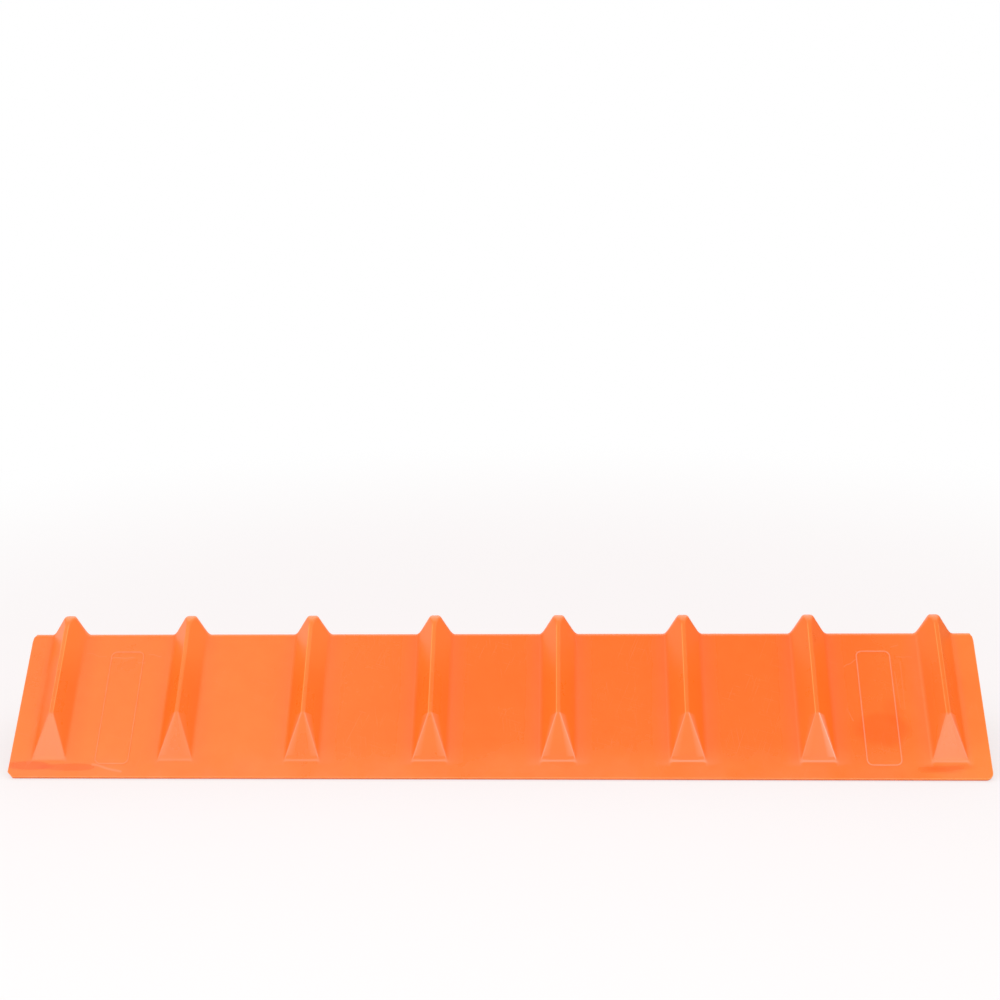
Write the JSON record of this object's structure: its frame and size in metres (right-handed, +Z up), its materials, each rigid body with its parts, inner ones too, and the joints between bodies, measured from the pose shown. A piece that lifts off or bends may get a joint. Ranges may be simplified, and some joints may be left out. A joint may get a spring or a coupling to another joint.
{
  "type": "strap corner protector",
  "caption": "Long right-angled plastic board that stands on its two free edges, with hollow ribs across the bend that keep cargo straps apart on a load's corner.",
  "frame": {"origin": "on the floor under the middle of the board, between its two free edges", "axes": "+X along the board, +Y from the front leg (the one with the plain raised frames) to the rear leg, +Z up from the free edges to the bend"},
  "size_m": [1.2192, 0.2864, 0.1687],
  "materials": {
    "orange_plastic": "satin moulded polyethylene"
  },
  "bodies": {
    "root": {"corner_board": "orange_plastic"}
  },
  "joints": []
}
